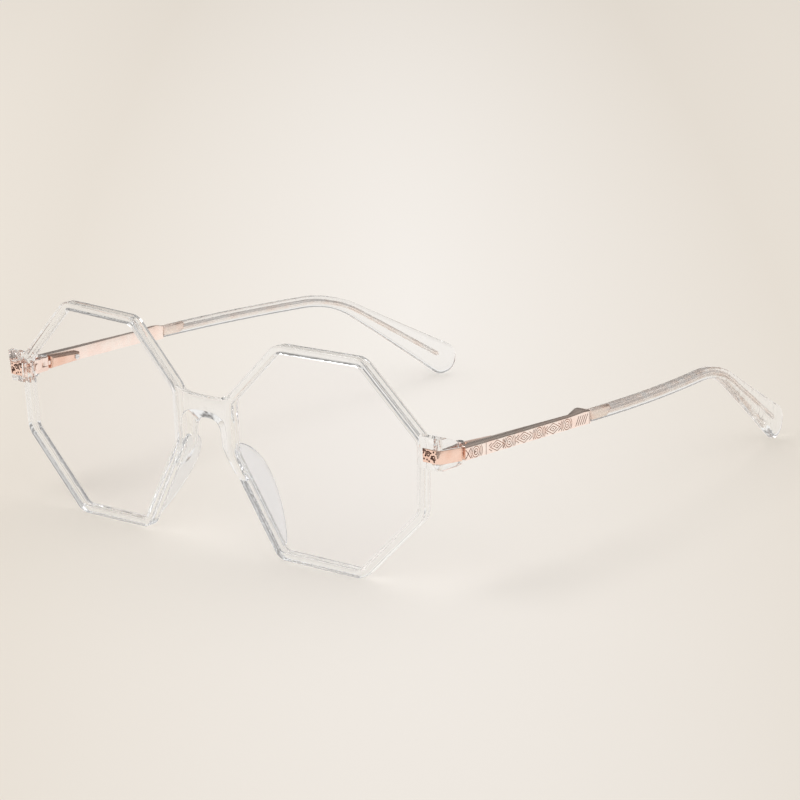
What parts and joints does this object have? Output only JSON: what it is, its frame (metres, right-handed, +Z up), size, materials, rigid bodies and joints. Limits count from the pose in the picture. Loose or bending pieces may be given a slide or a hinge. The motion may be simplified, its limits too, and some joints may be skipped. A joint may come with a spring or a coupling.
{
  "type": "eyeglasses",
  "caption": "Octagonal eyeglasses: clear moulded front and lenses, engraved metal side bars on sprung hinges, clear ear tips over a metal core.",
  "frame": {"origin": "on the table, under the middle of the glasses' box", "axes": "+Z up, -Y the way the front faces, +X towards the wearer's left; the sides run back along +Y"},
  "size_m": [0.1428, 0.1505, 0.0525],
  "materials": {
    "clear_frame": "polished clear acetate",
    "clear_tip": "polished clear acetate",
    "clear_lens": "clear lens resin, coated",
    "rose_gold": "satin rose gold plate",
    "core_metal": "bright rose gold plated wire",
    "steel": "bright steel",
    "spring_steel": "drawn spring wire"
  },
  "bodies": {
    "front": {"front_frame": "clear_frame", "lens_left": "clear_lens", "lens_right": "clear_lens", "nose_pad_left": "clear_frame", "nose_pad_right": "clear_frame", "corner_plate_left": "rose_gold", "corner_plate_right": "rose_gold", "hinge_leaf_left": "steel", "hinge_leaf_right": "steel", "leaf_rivets_left": "steel", "leaf_rivets_right": "steel", "hinge_screw_left": "steel", "hinge_screw_right": "steel"},
    "hinge_left": {"flex_slider_left": "steel"},
    "temple_left": {"temple_bar_left": "rose_gold", "flex_housing_left": "rose_gold", "housing_screw_left": "steel", "flex_spring_left": "spring_steel", "core_wire_left": "core_metal", "temple_tip_left": "clear_tip"},
    "hinge_right": {"flex_slider_right": "steel"},
    "temple_right": {"temple_bar_right": "rose_gold", "flex_housing_right": "rose_gold", "housing_screw_right": "steel", "flex_spring_right": "spring_steel", "core_wire_right": "core_metal", "temple_tip_right": "clear_tip"}
  },
  "joints": [
    {"name": "temple_fold_left", "type": "hinge", "parent": "front", "child": "hinge_left", "pos_m": [0.06806, -0.0616, 0.03175], "axis": [0, 0, 1], "range_deg": [-6, 87]},
    {"name": "flex_travel_left", "type": "slide", "parent": "hinge_left", "child": "temple_left", "axis": [0, 0.999, -0.0454], "range_m": [0, 0.0008], "stiffness_N_per_m": 600, "springref_m": -0.002, "deforming": ["flex_spring_left"]},
    {"name": "temple_fold_right", "type": "hinge", "parent": "front", "child": "hinge_right", "pos_m": [-0.06806, -0.0616, 0.03175], "axis": [0, 0, -1], "range_deg": [-6, 83]},
    {"name": "flex_travel_right", "type": "slide", "parent": "hinge_right", "child": "temple_right", "axis": [0, 0.999, -0.0454], "range_m": [0, 0.0008], "stiffness_N_per_m": 600, "springref_m": -0.002, "deforming": ["flex_spring_right"]}
  ]
}
